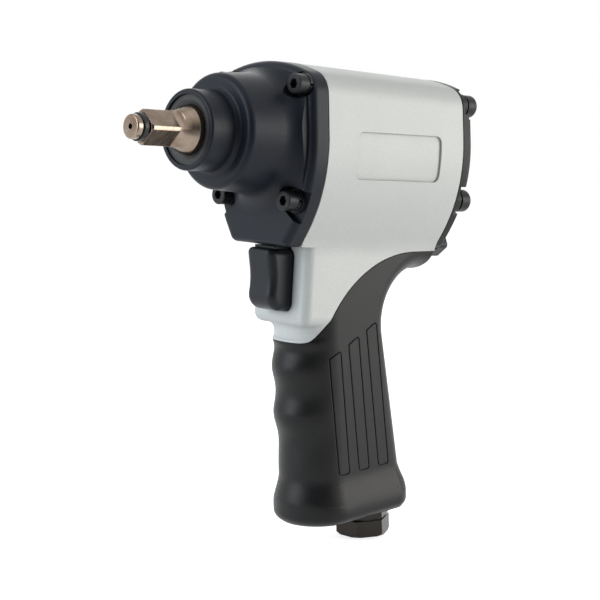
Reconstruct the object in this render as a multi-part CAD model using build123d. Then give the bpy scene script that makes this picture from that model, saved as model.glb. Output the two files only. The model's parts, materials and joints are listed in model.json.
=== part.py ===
from build123d import *
import math
import os

# Pistol-grip air impact wrench with a 3/8 inch square drive, in millimetres.
# The drive axis is Y. The origin is where a socket seats on the square, the drive points along -Y,
# +Z is up and +X is the tool's left side.

# Clearances
SLIP = 0.05          # radial gap of pieces assembled into one another
RUN = 0.06           # radial gap of shafts that turn or slide
GAP = 0.35           # free air between faces that move past each other
SEAT = 0.02          # gap under a piece that is clamped on its seat

# Square drive and anvil
SQUARE = 9.525
SQUARE_CORNER_R = 6.1   # the square's corners are turned to this radius
SQUARE_END = -9.5
TIP_END = -14.2
TIP_R = 4.25
TIP_HOLE_R = 1.0
TIP_HOLE_DEPTH = 2.6
TIP_EDGE = 0.6
SQUARE_BEVEL = 0.6
FLAT_END = 5.0       # the flats stop here, with a rounded run-out
FLAT_RUN_OUT = 3.0
RING_GROOVE_R = 3.3
RING_GROOVE_START = -11.9
SHANK_R = 8.5
SHANK_START = 9.2
TRUMPET_START = 4.0
TRUMPET_BEND = 13.0
ANVIL_CORE_R = 6.2
JAW_R = 8.4
JAW_WIDTH = 7.0

# Hammer case
NOSE_R = 14.0
NOSE_FRONT = 9.6
STEP_FACE = 21.5
STEP_R = 20.1
BARREL_R = 21.6
FLARE_R = 8.5
FLANGE_T = 7.4
HOUSING_FRONT = 52.4
GASKET = 0.4
CAVITY_R = 18.2
CAVITY_FRONT = 24.4
SEAL_R = 12.1
SEAL_BORE_R = 9.1
SEAL_FRONT = 10.4
SEAL_BACK = 13.0
SEAL_LIP_FRONT = 11.0
SEAL_LIP_BACK = 11.8
SEAL_LIP_RISE = 1.2
BUSHING_R = 11.0
FLANGE_ROUND = 2.6
NOSE_ROUND = 0.9
STEP_FILLET = 1.8
STEP_ROUND = 2.2

# Body outline, the same shield shape at the flange, the barrel and the rear cover.
# Corners are given sharp, each with its rounding.
CROWN_TOP = 25.79
CROWN_R = 57.0
SHOULDER_X = 23.8
SHOULDER_R = 9.0
SHOULDER_SHARE = 0.695   # of its rounding: from the shoulder's corner in to the end of the crown's arc
FLANK_X = 28.1
FLANK_Z = -17.5
FLANK_R = 55.0
FOOT_X = 14.5
FOOT_Z = -38.9
FOOT_ROUND = 3.0
CROWN_DROP = 1.8     # the crown is this much lower at the rear
NECK_Z = -46.0
NECK_BLEND = 12.0

# Motor housing
HOUSING_REAR = 121.0
MOTOR_BORE_R = 19.5
PLATE_POCKET_DEPTH = 0.7
POCKET_FRONT = 66.5
POCKET_BACK = 109.3
POCKET_TOP = 2.7
POCKET_BOTTOM = -14.1
POCKET_ROUND = 2.5
BLOCK_SET_BACK = 4.0 # trigger block behind the barrel's front
BLOCK_BACK = 82.0
BLOCK_BOTTOM = -67.8
BLOCK_ROUND = 3.6
CHIN_BLEND = 3.0

# Handle, in a frame that leans back from the drive's vertical
HANDLE_LEAN = 7.0
HANDLE_Y = 82.4
HANDLE_Z = -30.0
HALF_WIDTH = 14.5
FRONT_NOSE = 13.5    # depth of the rounded front
BACK_NOSE = 9.0      # depth of the rounded back
FRONT_TOP = 26.7
FRONT_TOP_DOWN = 20.0
RIDGE_UPPER_DOWN = 51.9
RIDGE_LOWER_DOWN = 69.1
RIDGE_RISE = 2.2
RIDGE_SPREAD = 5.2
PALM_DOWN = 80.0
PALM_DIP = 0.7
FINGERS_TOP = 40.0
FINGERS_END = 92.0
FINGER_SECTIONS = 13
SLEEVE_WALL = 2.6
WEB_Z = -47.8        # underside of the grip behind the handle
WEB_BEND = 18.0
BACK_CORNER_Y = 96.4
BACK_LEAN = 14.4
STRIP_DEPTH = 30.0   # back of the handle, inward from the line of the back
SLEEVE_STRIP_DEPTH = 26.5 # ends behind the rounded front, so that no step shows on the sleeve

# Flared foot of the grip
FLARE_DOWN = 92.0
FLARE_LENGTH = 9.0
FOOT_DOWN = 109.6
FOOT_GROW = 2.4
FOOT_EDGE = 3.6
FOOT_SHOULDER = 7.0      # rounding between the flare and the foot's side
CORE_DOWN = 104.2

# Parting line between housing and grip, seen from the side
SPLIT_LOW_Z = -74.2
SPLIT_LOW_Y = 63.8
SPLIT_LOW_BEND = 5.0
SPLIT_HIGH_Y = 84.5
SPLIT_HIGH_Z = -41.0
SPLIT_HIGH_BEND = 48.0
SPLIT_END_Z = -39.3
SPLIT_GAP = 0.2

# Engraved stripes on the grip's sides, in the handle's own frame: rear of its axis and down it
STRIPE_COUNT = 3
STRIPE_TOP_BACK = -18.1
STRIPE_TOP_PITCH = 9.2
STRIPE_TOP_DOWN = 47.4
STRIPE_TOP_STEP = 4.0    # each stripe starts this much higher than the one ahead of it
STRIPE_TOP_RISE = 2.7    # slant of a stripe's upper end
STRIPE_LOW_BACK = -15.3
STRIPE_LOW_PITCH = 10.0
STRIPE_LOW_DOWN = 91.6
STRIPE_WIDTH = 5.6
STRIPE_ROUND = 1.2
STRIPE_GROOVE = 0.5
STRIPE_DEPTH = 0.5

# Trigger
TRIGGER_HALF = 7.0
TRIGGER_TOP = -40.2
TRIGGER_BOTTOM = -62.4
TRIGGER_REACH = 7.2      # ahead of the barrel's front
TRIGGER_HOLLOW = 2.2
TRIGGER_LENGTH = 16.3
TRIGGER_TRAVEL = 5.0
TRIGGER_CHIN = 5.5
TRIGGER_LIP = 1.5
TRIGGER_BOW = 24.0
TRIGGER_EDGE = 2.8
TONGUE_HALF = 5.0
TONGUE_SET_BACK = 3.2
TONGUE_LENGTH = 10.6
TONGUE_RISE = 0.9
PIN_Z = -50.0
PIN_R = 1.75
PIN_HOLD = 6.0       # length of the pin inside the trigger
PIN_REST = 0.3       # free play before the pin meets the stem

# Air passage with the tilting throttle valve, leaning like the handle's middle
PASSAGE_LEAN = 12.0
PASSAGE_Y = 103.4
PASSAGE_Z = -120.0
PASSAGE_R = 6.0
CHAMBER_R = 8.5
CHAMBER_LOW = 62.0
CHAMBER_HIGH = 84.0
VALVE_SEAT_UP = 36.0
VALVE_SEAT_T = 3.0
VALVE_SEAT_BORE_R = 3.4
VALVE_R = 4.8
VALVE_T = 1.8
STEM_R = 1.5
STEM_TOP = 73.5
SCREEN_R = 4.2
SCREEN_RISE = 11.0
SCREEN_FLANGE_T = 1.0
SCREEN_WALL = 0.8
SCREEN_HOLE_R = 0.7
SCREEN_ROWS = 3
SCREEN_COLUMNS = 8
VALVE_SPRING_R = 3.4
VALVE_SPRING_WIRE = 0.8
VALVE_SPRING_TURNS = 6
SPRING_LIFT = 0.45   # the spring clears the tilted top of the screen

# Air inlet
INLET_BACK = 10.0    # inlet axis behind the handle's axis
INLET_SHANK_R = 8.4
INLET_SHANK_TOP = 92.0
INLET_HEX = 18.0
INLET_UPPER_HEX = 5.2
INLET_GROOVE = 0.9
INLET_LOWER_HEX = 6.2
INLET_GROOVE_R = 8.6
INLET_CHAMFER = 0.9
INLET_THREAD_R = 5.72
INLET_THREAD_LENGTH = 13.0
INLET_BORE_R = 4.6
INLET_RING_WIRE = 0.9
INLET_RING_DOWN = 5.0

# Exhaust under the handle
EXHAUST_R = 3.5
EXHAUST_X = 7.5
EXHAUST_Y = 75.0
EXHAUST_Z = -50.0
EXHAUST_LEAN = 6.0
DEFLECTOR_T = 4.0
MUFFLER_T = 2.4
MUFFLER_LENGTH = 17.0
MUFFLER_WIDTH = 18.0
MUFFLER_ROUND = 3.0
SLOT_WIDTH = 2.2
SLOT_PITCH = 3.8
SLOT_COUNT = 4
SLOT_LENGTH = 14.0
SLOT_CENTRE = -10.5

# Motor
PLATE_T = 8.0
PLATE_WEB = 1.6
CYLINDER_LENGTH = 44.0
CYLINDER_BORE_R = 15.6
CYLINDER_OFFSET = 1.4
ROTOR_R = 14.0
ROTOR_END_GAP = 0.2
SHAFT_R = 5.0
VANES = 6
VANE_T = 1.8
VANE_ROOT_R = 8.0
VANE_SINK = 0.1
BEARING_R = 11.0
BEARING_T = 6.0
RACE_T = 1.7
SHIELD_SINK = 0.4
DOWEL_R = 1.3
DOWEL_Z = -16.9
DOWEL_END = 3.6
PORT_R = 2.4
PORT_PITCH = 9.0
PORT_COUNT = 4

# Twin hammer mechanism
CAGE_R = 17.6
CAGE_FRONT = 25.0
CAGE_FRONT_T = 3.0
CAGE_CLEAR = 1.4     # from the cage to the motor's front plate
CAGE_BACK_T = 5.6
CAGE_HOLE_R = 9.0
POST_X = 15.0
DOG_R = 16.4
DOG_HOLE_R = 9.1
DOG_FLAT = 13.2
DOG_SIDE_GAP = 0.3
DOG_LUG_R = 7.5
DOG_LUG_HALF = 2.2
DOG_PIN_GAP = 0.1
DOG_NOTCH_HALF = 4.3
DOG_NOTCH_R = 10.9
HAMMER_PIN_R = 2.3
HAMMER_PIN_Z = 13.6
DRIVE_HEX = 8.6

# Rear cover
COVER_T = 3.8
PLATFORM_T = 4.2
PLATFORM_INSET = 3.2
PLATFORM_BOTTOM = -32.6
COVER_ROUND = 1.2
SPIGOT_WALL = 3.4

# Cap screws, M4
SCREW_R = 2.0
SCREW_HEAD_R = 3.55
SCREW_HEAD = 4.6
SCREW_SOCKET = 3.2
SCREW_SOCKET_DEPTH = 2.4
SCREW_GRIP = 12.0
SCREW_EDGE = 0.5
WASHER_T = 1.0
WASHER_R = 3.8
WASHER_SPLIT = 0.8
SPOT_R = 4.8
SPOT_DEPTH = 1.2
SCREW_BOSS_R = 4.3
SCREW_POCKET_R = 5.0
POCKET_REACH = 16.0      # a pocket's mouth lies outside the flange's rim
POCKET_MOUTH_TOP = 0.6
POCKET_MOUTH_LOW = -17.8
CASE_SCREW_UPPER_X = 19.4
CASE_SCREW_UPPER_Z = 17.8
CASE_SCREW_LOWER_X = 17.3
CASE_SCREW_LOWER_Z = -22.5
COVER_HEAD_R = 4.2
COVER_HEAD = 5.2
COVER_HEAD_ROUND = 1.6
COVER_SCREW_X = 19.3
COVER_SCREW_UPPER_Z = 14.5
COVER_SCREW_LOWER_Z = -20.7
COVER_SLOT_R = 5.3
COVER_SLOT_TILT = 30.0   # the upper slots open upward
COVER_SLOT_SILL = 1.0
COVER_BOSS_R = 4.5
COVER_SPOT = 0.6

# Reverse valve and its lever
VALVE_Z = -31.0
SPOOL_R = 5.5
SPOOL_FRONT = 92.0
SPOOL_PORT_R = 2.4
SPOOL_PORT_LENGTH = 16.0
SPOOL_BORE_R = 3.2
SPOOL_NECK_R = 4.2
SPOOL_SHOULDER = 120.6
SPOOL_KEY = 5.4
SPOOL_KEY_LENGTH = 2.0
BUSH_WALL = 1.8
BUSH_PORT_R = 2.6
BUSH_PORT_FRONT = 99.0
BUSH_PORT_REAR = 110.0
VALVE_BORE_FRONT = 84.0
SPOOL_RING_WIRE = 0.8
SPOOL_RING_Y = 117.0
LEVER_HUB_R = 8.5
LEVER_T = 5.6
LEVER_SHOULDER_X = 10.8
LEVER_SHOULDER_DOWN = 7.0
LEVER_TIP_X = 7.2
LEVER_TIP_DOWN = 10.0
LEVER_EDGE = 0.8
LEVER_ROUND = 1.6
LEVER_SWING = 25.0
LEVER_GAP = 0.3
LEVER_SCREW_R = 1.9
LEVER_SCREW_HEAD_R = 3.4
LEVER_SCREW_HEAD = 2.2
LEVER_SCREW_LENGTH = 9.0
LEVER_SCREW_SINK = 0.3
LEVER_SCREW_SOCKET = 2.8
LEVER_SCREW_SOCKET_DEPTH = 1.2
DETENT_R = 1.3
DETENT_REACH = 6.6
DETENT_RISE = 0.5
DETENT_SPRING_R = 0.9
DETENT_SPRING_WIRE = 0.36
DETENT_SPRING_TURNS = 2
DETENT_CUP = 0.2
DETENT_DEPTH = 3.4

# Socket retaining ring
RETAINER_R = 4.85
RETAINER_WIDTH = 2.0
RETAINER_SPLIT = 1.4
RETAINER_EDGE = 0.3
RING_WIRE = 0.4

# Stations that follow from the sizes above
CROWN_SLOPE = math.asin((SHOULDER_X - SHOULDER_R * SHOULDER_SHARE) / CROWN_R)
CROWN_Z = CROWN_TOP + CROWN_R * (1 / math.cos(CROWN_SLOPE) - 1)
SHOULDER_Z = CROWN_Z - SHOULDER_X * math.tan(CROWN_SLOPE)
CASE_BACK = HOUSING_FRONT - GASKET
FLANGE_FRONT = CASE_BACK - FLANGE_T
POCKET_FLOOR = FLANGE_FRONT + FLANGE_ROUND
CAGE_BACK = HOUSING_FRONT - CAGE_CLEAR
BLOCK_FRONT = HOUSING_FRONT + BLOCK_SET_BACK
TRIGGER_FRONT = HOUSING_FRONT - TRIGGER_REACH
TRIGGER_BACK = TRIGGER_FRONT + TRIGGER_LENGTH
TONGUE_FRONT = TRIGGER_FRONT + TONGUE_SET_BACK
TONGUE_BACK = TONGUE_FRONT + TONGUE_LENGTH
COVER_SEAT = HOUSING_REAR + GASKET
COVER_FACE = COVER_SEAT + COVER_T
PLATFORM_FACE = COVER_FACE + PLATFORM_T
COVER_SCREW_SEAT = COVER_FACE - COVER_SPOT
SLOT_FLOOR = COVER_SEAT + COVER_SLOT_SILL
CYLINDER_FRONT = HOUSING_FRONT + PLATE_T
CYLINDER_BACK = CYLINDER_FRONT + CYLINDER_LENGTH
REAR_PLATE_BACK = CYLINDER_BACK + PLATE_T
DOG_SPACE = CAGE_BACK - CAGE_BACK_T - CAGE_FRONT - CAGE_FRONT_T
DOG_LENGTH = (DOG_SPACE - 3 * DOG_SIDE_GAP) / 2
DOG_FRONT = CAGE_FRONT + CAGE_FRONT_T + DOG_SIDE_GAP
DOG_REAR = DOG_FRONT + DOG_LENGTH + DOG_SIDE_GAP
SPOT_FACE = FLANGE_FRONT + SPOT_DEPTH
LEVER_FACE = COVER_FACE + LEVER_GAP
RETAINER_START = RING_GROOVE_START + (SQUARE_END - RING_GROOVE_START - RETAINER_WIDTH) / 2
DOG_END = DOG_REAR + DOG_LENGTH
FRONT_BEARING = CYLINDER_FRONT - PLATE_WEB - SEAT - BEARING_T
REAR_BEARING = CYLINDER_BACK + PLATE_WEB + SEAT
BUSH_R = SPOOL_R + RUN + BUSH_WALL
STEM_Y = PASSAGE_Y - (PIN_Z - PASSAGE_Z) * math.tan(math.radians(PASSAGE_LEAN))

# Leaning frames: local Z points up the handle, local Y to the rear
HANDLE = Plane(
    origin=(0, HANDLE_Y, HANDLE_Z),
    x_dir=(1, 0, 0),
    z_dir=(0, -math.sin(math.radians(HANDLE_LEAN)), math.cos(math.radians(HANDLE_LEAN))),
)
PASSAGE = Plane(
    origin=(0, PASSAGE_Y, PASSAGE_Z),
    x_dir=(1, 0, 0),
    z_dir=(0, -math.sin(math.radians(PASSAGE_LEAN)), math.cos(math.radians(PASSAGE_LEAN))),
)


# Building blocks

def rod(radius, start, end, x=0.0, z=0.0):
    """Round bar along Y."""
    return Pos(x, (start + end) / 2, z) * Rot(90, 0, 0) * Cylinder(radius, end - start)


def tube(outer, inner, start, end, x=0.0, z=0.0):
    """Round tube along Y."""
    return rod(outer, start, end, x, z) - rod(inner, start, end, x, z)


def post(radius, low, high, y=0.0, x=0.0):
    """Round bar along a leaning frame's own Z."""
    return Pos(x, y, (low + high) / 2) * Cylinder(radius, high - low)


def lathe(points, rounds):
    """Turned piece about Y from (radius, station) corners with a rounding for each."""
    return revolve(make_face(FilletPolyline(*points, radius=rounds, close=True)), Axis.Y)


def slab(face, start, end):
    """Plate across the drive axis from a face drawn in X and Z."""
    return extrude(Pos(0, start, 0) * (Plane.XZ * face), end - start, dir=(0, 1, 0))


def side_slab(face, half):
    """Plate along the middle plane from a face drawn in Y and Z."""
    return extrude(Plane.YZ * face, half, both=True)


def hexagon(across_flats):
    """Hexagon face with its flats at left and right."""
    return RegularPolygon(across_flats / 2, 6, major_radius=False)


def ring_of_wire(radius, wire, station, z=0.0):
    """O-ring about Y."""
    return Pos(0, station, z) * Rot(90, 0, 0) * Torus(radius, wire)


def coil(radius, wire, length, turns):
    """Compression spring along local Z from quarter-turn arcs."""
    quarters = 4 * turns
    rise = (length - wire) / quarters

    def on_helix(step):
        angle = step * math.pi / 2
        return (radius * math.cos(angle), radius * math.sin(angle), wire / 2 + rise * step)

    arcs = [ThreePointArc(on_helix(n), on_helix(n + 0.5), on_helix(n + 1)) for n in range(quarters)]
    start = Plane(origin=arcs[0] @ 0, z_dir=arcs[0] % 0)
    return sweep(start * Circle(wire / 2), Wire(arcs))


def joined(pieces):
    """Separate solids kept together in one node."""
    return Compound(children=[solid for piece in pieces for solid in piece.solids()])


# Outlines shared by the castings

def flange_face(drop, inset):
    """Shield outline with the flat foot, as on the flange and the rear cover."""
    outline = FilletPolyline(
        (0, CROWN_Z - drop),
        (SHOULDER_X, SHOULDER_Z - drop), (FLANK_X, FLANK_Z), (FOOT_X, FOOT_Z),
        (-FOOT_X, FOOT_Z), (-FLANK_X, FLANK_Z), (-SHOULDER_X, SHOULDER_Z - drop),
        radius=[CROWN_R, SHOULDER_R, FLANK_R, FOOT_ROUND, FOOT_ROUND, FLANK_R, SHOULDER_R],
        close=True,
    )
    face = make_face(outline)
    return offset(face, -inset) if inset else face


def body_face(drop, inset):
    """Shield outline that narrows into the handle's neck."""
    outline = FilletPolyline(
        (0, CROWN_Z - drop),
        (SHOULDER_X, SHOULDER_Z - drop), (FLANK_X, FLANK_Z), (HALF_WIDTH, FOOT_Z), (HALF_WIDTH, NECK_Z),
        (-HALF_WIDTH, NECK_Z), (-HALF_WIDTH, FOOT_Z), (-FLANK_X, FLANK_Z), (-SHOULDER_X, SHOULDER_Z - drop),
        radius=[CROWN_R, SHOULDER_R, FLANK_R, NECK_BLEND, 0, 0, NECK_BLEND, FLANK_R, SHOULDER_R],
        close=True,
    )
    face = make_face(outline)
    return offset(face, -inset) if inset else face


def case_screw_places():
    """Left and right places of the hammer case screws."""
    upper = (CASE_SCREW_UPPER_X, CASE_SCREW_UPPER_Z)
    lower = (CASE_SCREW_LOWER_X, CASE_SCREW_LOWER_Z)
    return [(side * x, z) for x, z in (upper, lower) for side in (-1, 1)]


def cover_screw_places():
    """Left and right places of the rear cover screws."""
    heights = (COVER_SCREW_UPPER_Z, COVER_SCREW_LOWER_Z)
    return [(side * COVER_SCREW_X, z) for z in heights for side in (-1, 1)]


# Handle forms

def nose_section(reach, down, inset):
    """Rounded front of the handle's section, ahead of its straight sides."""
    half = HALF_WIDTH - inset
    root = FRONT_NOSE - FRONT_TOP
    arc = EllipticalCenterArc((0, root), half, reach + root - inset, start_angle=180, arc_size=180)
    return Pos(0, 0, -down) * make_face([arc, Line((-half, root), (half, root))])


def finger_reach(down):
    """How far the handle's front lies ahead of its axis, with ridges between the fingers."""
    upper = math.exp(-(((down - RIDGE_UPPER_DOWN) / RIDGE_SPREAD) ** 2))
    lower = math.exp(-(((down - RIDGE_LOWER_DOWN) / RIDGE_SPREAD) ** 2))
    palm = math.exp(-(((down - PALM_DOWN) / RIDGE_SPREAD) ** 2))
    return FRONT_TOP + RIDGE_RISE * (upper + lower) - PALM_DIP * palm


def finger_front():
    """Rounded front of the handle with two ridges between the fingers."""
    pitch = (FINGERS_END - FINGERS_TOP) / FINGER_SECTIONS
    levels = [FINGERS_TOP + pitch * n for n in range(FINGER_SECTIONS + 1)]
    ridges = loft([nose_section(finger_reach(level), level, 0) for level in levels])
    above = nose_section(finger_reach(FINGERS_TOP), FINGERS_TOP, 0)
    below = nose_section(finger_reach(FINGERS_END), FINGERS_END, 0)
    ridges += extrude(above, FINGERS_TOP - FRONT_TOP_DOWN, dir=(0, 0, 1))
    return ridges + extrude(below, FOOT_DOWN - FINGERS_END, dir=(0, 0, -1))


def handle_front(inset, fingers):
    """Front half of the handle."""
    height = FOOT_DOWN - FRONT_TOP_DOWN
    sides = Pos(0, 0, -FRONT_TOP_DOWN) * Box(
        (HALF_WIDTH - inset) * 2, FRONT_TOP - FRONT_NOSE, height, align=(Align.CENTER, Align.MAX, Align.MAX)
    )
    if fingers:
        return HANDLE * (sides + finger_front())
    nose = nose_section(FRONT_TOP, FRONT_TOP_DOWN, inset)
    return HANDLE * (sides + extrude(nose, height, dir=(0, 0, -1)))


def back_path(inset):
    """Line of the handle's back seen from the side: under the barrel, round the bend and down."""
    lean = math.radians(BACK_LEAN)
    web = WEB_Z + inset
    corner_y = BACK_CORNER_Y - inset / math.cos(lean) + inset * math.tan(lean)
    start = (0, HOUSING_REAR + WEB_BEND, web)
    heel = (0, corner_y + FOOT_DOWN * math.sin(lean), web - FOOT_DOWN * math.cos(lean))
    return FilletPolyline(start, (0, corner_y, web), heel, radius=[WEB_BEND + inset])


def handle_back(inset, depth):
    """Back half of the handle: a rounded strip swept along the line of the back."""
    half = HALF_WIDTH - inset
    nose = BACK_NOSE - inset
    root = WEB_Z + inset + nose
    top = WEB_Z + depth
    arc = EllipticalCenterArc((0, root), half, nose, start_angle=180, arc_size=180)
    sides = Polyline((half, root), (half, top), (-half, top), (-half, root))
    section = Pos(0, HOUSING_REAR + WEB_BEND, 0) * (Plane.XZ * make_face([arc, *sides.edges()]))
    behind = Pos(0, HOUSING_REAR, WEB_Z - WEB_BEND / 2) * Box(
        HALF_WIDTH * 4, STRIP_DEPTH, STRIP_DEPTH * 2, align=(Align.CENTER, Align.MIN, Align.MIN)
    )
    return sweep(section, back_path(inset)) - behind


def under(down):
    """Everything below a level across the handle."""
    room = HANDLE_Y * 4
    return HANDLE * Pos(0, 0, -down) * Box(room, room, room, align=(Align.CENTER, Align.CENTER, Align.MAX))


def handle_form(inset, fingers, depth=STRIP_DEPTH):
    """Handle without the foot, cut level at the foot's underside."""
    return handle_front(inset, fingers) + handle_back(inset, depth) - under(FOOT_DOWN)


def foot_section(grow, down):
    """Whole section of the handle's foot, grown all round."""
    half = HALF_WIDTH + grow
    front = FRONT_NOSE - FRONT_TOP
    back = back_reach(down) - BACK_NOSE
    front_arc = EllipticalCenterArc((0, front), half, FRONT_NOSE + grow, start_angle=180, arc_size=180)
    back_arc = EllipticalCenterArc((0, back), half, BACK_NOSE + grow, start_angle=0, arc_size=180)
    sides = [Line((x, front), (x, back)) for x in (-half, half)]
    return Pos(0, 0, -down) * make_face([front_arc, back_arc, *sides])


def back_reach(down):
    """How far the handle's back lies behind the handle's axis."""
    corner = HANDLE.to_local_coords(Vector(0, BACK_CORNER_Y, WEB_Z))
    return corner.Y + (down + corner.Z) * math.tan(math.radians(BACK_LEAN - HANDLE_LEAN))


def foot_form():
    """Flared foot with a rounded lower edge."""
    flare_end = FLARE_DOWN + FLARE_LENGTH
    flare = loft([foot_section(-FOOT_GROW / 4, FLARE_DOWN), foot_section(FOOT_GROW, flare_end)], ruled=True)
    base = extrude(foot_section(FOOT_GROW, flare_end), FOOT_DOWN - flare_end, dir=(0, 0, -1))
    base = fillet(base.faces().sort_by(Axis.Z)[0].edges(), FOOT_EDGE)
    foot = flare + base
    shoulder = foot.edges().filter_by_position(Axis.Z, -flare_end, -flare_end)
    return HANDLE * fillet(shoulder, FOOT_SHOULDER)


def split_region(gap):
    """Everything below the parting line, moved down by a gap."""
    reach = HOUSING_REAR + STRIP_DEPTH
    start = (0, SPLIT_LOW_Z - gap)
    low = (SPLIT_LOW_Y + gap, SPLIT_LOW_Z - gap)
    high = (SPLIT_HIGH_Y + gap, SPLIT_HIGH_Z - gap)
    end = (reach, SPLIT_END_Z - gap)
    line = FilletPolyline(start, low, high, end, radius=[SPLIT_LOW_BEND, SPLIT_HIGH_BEND])
    floor = PASSAGE_Z - STRIP_DEPTH * 2
    rest = Polyline(end, (reach, floor), (0, floor), start)
    return side_slab(make_face([*line.edges(), *rest.edges()]), FLANK_X)


# Castings and covers

def screw_pocket():
    """Cutter for the pocket round the left lower flange screw, widening to the rim, less the screw's boss."""
    mouth = Line((POCKET_REACH, POCKET_MOUTH_TOP), (POCKET_REACH, POCKET_MOUTH_LOW))
    outline = make_hull([*Circle(SCREW_POCKET_R).edges(), mouth])
    pocket = slab(outline, 0, POCKET_FLOOR) - rod(SCREW_BOSS_R, SPOT_FACE, POCKET_FLOOR)
    return Pos(CASE_SCREW_LOWER_X, 0, CASE_SCREW_LOWER_Z) * pocket


def hammer_case():
    outside = lathe(
        [
            (0, NOSE_FRONT), (NOSE_R, NOSE_FRONT), (NOSE_R, STEP_FACE), (STEP_R, STEP_FACE),
            (BARREL_R, FLANGE_FRONT), (FLANK_X + FLARE_R, FLANGE_FRONT), (FLANK_X + FLARE_R, CASE_BACK),
            (0, CASE_BACK),
        ],
        [0, NOSE_ROUND, STEP_FILLET, STEP_ROUND, FLARE_R, 0, 0, 0],
    )
    plate = slab(flange_face(0, 0), FLANGE_FRONT, CASE_BACK)
    plate = fillet(plate.faces().sort_by(Axis.Y)[0].outer_wire().edges(), FLANGE_ROUND)
    case = plate + (outside & slab(flange_face(0, FLANGE_ROUND), 0, CASE_BACK))
    case -= rod(CAVITY_R, CAVITY_FRONT, CASE_BACK)
    case -= rod(BUSHING_R + SLIP, SEAL_BACK, CAVITY_FRONT)
    case -= rod(SEAL_R + SLIP, 0, SEAL_BACK)
    case -= screw_pocket() + mirror(screw_pocket(), Plane.YZ)
    for x, z in case_screw_places():
        case -= rod(SPOT_R, 0, SPOT_FACE, x, z)
        case -= rod(SCREW_R + SLIP, SPOT_FACE, CASE_BACK, x, z)
    return case


def case_gasket():
    sheet = slab(flange_face(0, GASKET), CASE_BACK, HOUSING_FRONT)
    sheet -= rod(CAVITY_R, CASE_BACK, HOUSING_FRONT)
    for x, z in case_screw_places():
        sheet -= rod(SCREW_R + SLIP, CASE_BACK, HOUSING_FRONT, x, z)
    return sheet


def barrel(inset):
    """Outer form of the housing's barrel."""
    front = Pos(0, HOUSING_FRONT, 0) * (Plane.XZ * body_face(0, inset))
    rear = Pos(0, HOUSING_REAR, 0) * (Plane.XZ * body_face(CROWN_DROP, inset))
    return loft([front, rear], ruled=True)


def plate_pocket():
    """Shallow bare recess on the left side of the barrel."""
    middle = Pos((POCKET_FRONT + POCKET_BACK) / 2, (POCKET_TOP + POCKET_BOTTOM) / 2)
    length = POCKET_BACK - POCKET_FRONT
    window = middle * RectangleRounded(length, POCKET_TOP - POCKET_BOTTOM, POCKET_ROUND)
    return extrude(Plane.YZ * window, FLANK_X * 2) - barrel(PLATE_POCKET_DEPTH)


def trigger_block():
    """Rounded front of the handle that frames the trigger, below the flange's foot."""
    outline = FilletPolyline(
        (FLANK_X, FLANK_Z), (HALF_WIDTH, FOOT_Z), (HALF_WIDTH, BLOCK_BOTTOM),
        (-HALF_WIDTH, BLOCK_BOTTOM), (-HALF_WIDTH, FOOT_Z), (-FLANK_X, FLANK_Z),
        radius=[0, NECK_BLEND, 0, 0, NECK_BLEND, 0],
        close=True,
    )
    block = slab(make_face(outline), BLOCK_FRONT, BLOCK_BACK)
    front = block.faces().sort_by(Axis.Y)[0].edges()
    chin = block.faces().sort_by(Axis.Z)[0].edges().filter_by(Axis.Y)
    return fillet(front.sort_by(Axis.Z)[:-1] + chin, BLOCK_ROUND) & below_foot()


def below_foot():
    """Space under the level of the flange's foot, as far back as the trigger block."""
    return Pos(0, 0, FOOT_Z) * Box(
        FLANK_X * 2, BLOCK_BACK * 2, FLANK_X * 2, align=(Align.CENTER, Align.CENTER, Align.MAX)
    )


def handle_shell():
    """Trigger block and grip form in one, with a blend where the block's chin meets the handle."""
    shell = trigger_block() + GRIP_FORM
    chin = Vertex(0, BLOCK_FRONT + BLOCK_ROUND, BLOCK_BOTTOM)
    edge = shell.edges().filter_by(GeomType.BSPLINE).sort_by_distance(chin)[0]
    return fillet(edge, CHIN_BLEND)


def trigger_recess():
    """Slot that the trigger slides in, with the hole for its pin."""
    half = TRIGGER_HALF + GAP
    top = TRIGGER_TOP + GAP
    bottom = TRIGGER_BOTTOM - GAP
    depth = TRIGGER_BACK + TRIGGER_TRAVEL + GAP
    slot = Pos(0, (top + bottom) / 2) * RectangleRounded(half * 2, top - bottom, TRIGGER_EDGE + GAP)
    notch = Pos(0, 0, top + TONGUE_RISE) * Box(
        (TONGUE_HALF + GAP) * 2, (TONGUE_BACK + TRIGGER_TRAVEL + GAP) * 2, TRIGGER_EDGE * 2,
        align=(Align.CENTER, Align.CENTER, Align.MAX),
    )
    return slab(slot, 0, depth) + notch + rod(PIN_R + RUN, depth, STEM_Y, 0, PIN_Z)


def air_ways():
    """Inlet bore, valve passage, throttle chamber, reverse valve bore and exhaust bores."""
    ways = PASSAGE * post(PASSAGE_R, -PASSAGE_R, CHAMBER_HIGH)
    ways += PASSAGE * post(CHAMBER_R, CHAMBER_LOW, CHAMBER_HIGH)
    ways += HANDLE * post(INLET_SHANK_R + SLIP, -FOOT_DOWN, SLIP - INLET_SHANK_TOP, INLET_BACK)
    ways += rod(BUSH_R + SLIP, VALVE_BORE_FRONT, HOUSING_REAR, 0, VALVE_Z)
    exhaust = Pos(0, EXHAUST_Y, EXHAUST_Z) * Rot(EXHAUST_LEAN, 0, 0)
    for side in (-1, 1):
        ways += exhaust * post(EXHAUST_R, -FOOT_DOWN, -EXHAUST_Z, 0, side * EXHAUST_X)
    return ways


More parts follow.
